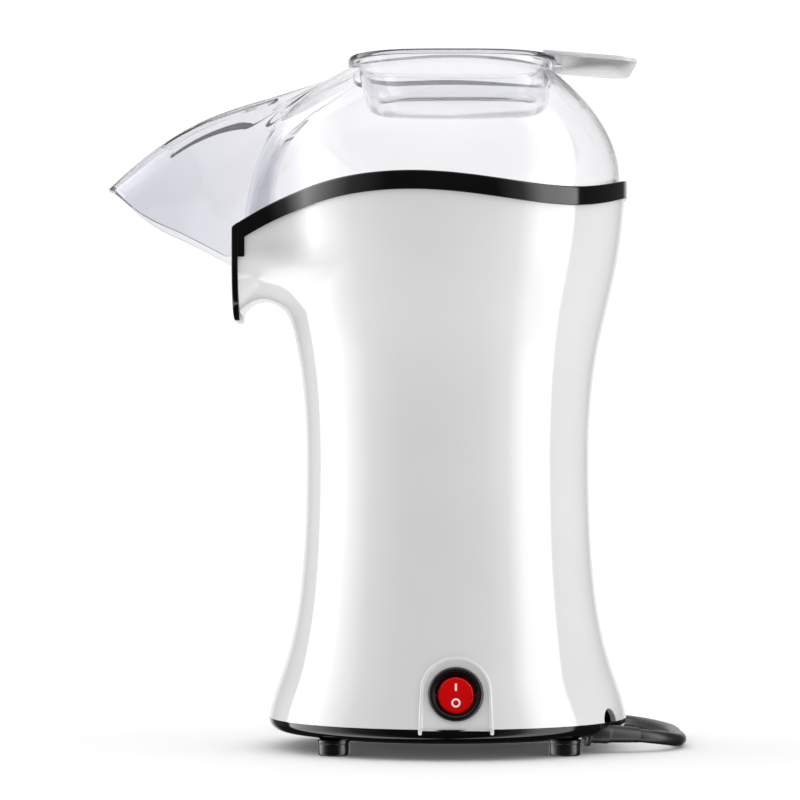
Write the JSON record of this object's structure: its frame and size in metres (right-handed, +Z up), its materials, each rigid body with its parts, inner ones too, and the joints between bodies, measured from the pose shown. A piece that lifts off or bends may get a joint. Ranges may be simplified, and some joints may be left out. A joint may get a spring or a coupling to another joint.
{
  "type": "popcorn maker",
  "caption": "Hot-air popcorn maker: waisted white body, black band and base, clear spouted hood with measuring cup, round rocker switch and mains cord.",
  "frame": {"origin": "on the floor, under the middle of the object's length and width without its cord", "axes": "+Z up, -X towards the spout, +X towards the cup's handle and the cord, -Y towards the switch"},
  "size_m": [0.2543, 0.2449, 0.301],
  "materials": {
    "white_gloss": "high gloss moulded",
    "white_satin": "satin moulded",
    "black_gloss": "high gloss moulded",
    "black_satin": "satin moulded",
    "clear_plastic": "clear polished moulding",
    "foot_rubber": "smooth",
    "screw_steel": "plated",
    "chamber_aluminium": "spun",
    "silicone": "smooth",
    "duct_steel": "rolled",
    "mica": "laminated",
    "resistance_wire": "oxidised",
    "fuse_body": "smooth",
    "heatproof_plastic": "moulded",
    "dark_plastic": "moulded",
    "motor_steel": "drawn",
    "board_green": "coated board",
    "rocker_red": "translucent gloss",
    "mark_white": "printed",
    "terminal_brass": "stamped",
    "wire_blue": "extruded",
    "cord_black": "soft extruded",
    "tie_dark": "coated wire",
    "pin_nickel": "nickel plated"
  },
  "bodies": {
    "base": {"body_shell": "white_gloss", "switch_panel": "white_gloss", "top_band": "black_gloss", "front_plate": "black_gloss", "chute_deck": "white_satin", "base_dish": "black_gloss", "foot_front_near": "foot_rubber", "foot_front_far": "foot_rubber", "foot_rear_near": "foot_rubber", "foot_rear_far": "foot_rubber", "foot_screws": "screw_steel", "popping_chamber": "chamber_aluminium", "chamber_seal": "silicone", "heater_duct": "duct_steel", "mica_boards": "mica", "heater_coil": "resistance_wire", "thermostat": "duct_steel", "thermal_fuse": "fuse_body", "fan_housing": "heatproof_plastic", "housing_screws": "screw_steel", "motor_can": "motor_steel", "motor_end_cap": "dark_plastic", "motor_screws": "screw_steel", "rectifier_board": "board_green", "diodes": "dark_plastic", "switch_housing": "black_satin", "switch_terminals": "terminal_brass", "wiring": "wire_blue", "cord_clamp": "heatproof_plastic", "clamp_screws": "screw_steel", "strain_relief": "cord_black", "cord": "cord_black", "cord_coil": "cord_black", "cord_tie": "tie_dark", "cord_tail": "cord_black", "plug_body": "cord_black", "plug_pins": "pin_nickel"},
    "hood": {"hood": "clear_plastic"},
    "cup": {"measuring_cup": "clear_plastic"},
    "rocker": {"rocker": "rocker_red", "rocker_marks": "mark_white"},
    "rotor": {"impeller": "dark_plastic", "motor_shaft": "screw_steel"}
  },
  "joints": [
    {"name": "hood_lift", "type": "slide", "parent": "base", "child": "hood", "axis": [0, 0, 1], "range_m": [0, 0.06]},
    {"name": "cup_lift", "type": "slide", "parent": "hood", "child": "cup", "axis": [0, 0, 1], "range_m": [0, 0.06]},
    {"name": "rocker_tilt", "type": "hinge", "parent": "base", "child": "rocker", "pos_m": [0.0358, -0.07014, 0.02656], "axis": [-1, 0, 0], "range_deg": [0, 16]},
    {"name": "fan_spin", "type": "hinge", "parent": "base", "child": "rotor", "pos_m": [0.0335, 0, 0.03], "axis": [0, 0, 1], "continuous": true}
  ]
}
